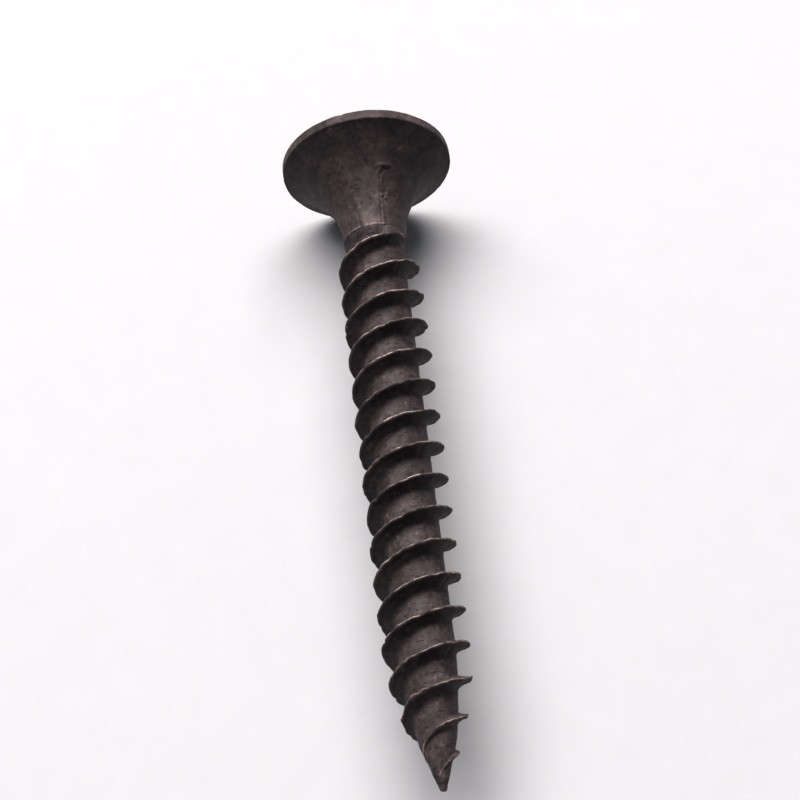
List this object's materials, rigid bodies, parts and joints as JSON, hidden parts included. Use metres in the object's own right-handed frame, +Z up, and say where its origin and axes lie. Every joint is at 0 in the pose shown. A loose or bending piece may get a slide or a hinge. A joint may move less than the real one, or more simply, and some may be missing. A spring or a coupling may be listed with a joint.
{
  "type": "bugle-head screw",
  "caption": "Black phosphated screw with a bugle head, cross recess, fine twin thread and sharp self-starting point.",
  "frame": {"origin": "centre of the flat face of the head", "axes": "+X out of the face of the head, along the axis of the screw; the tip points along -X; +Z up with the screw lying level"},
  "size_m": [0.032, 0.008, 0.008],
  "materials": {
    "phosphated_steel": "matte black-grey phosphate",
    "thread_steel": "matte phosphate, worn lighter along the crest"
  },
  "bodies": {
    "root": {"bugle_head": "phosphated_steel", "neck": "phosphated_steel", "core": "phosphated_steel", "first_thread": "thread_steel", "second_thread": "thread_steel", "point": "phosphated_steel"}
  },
  "joints": []
}
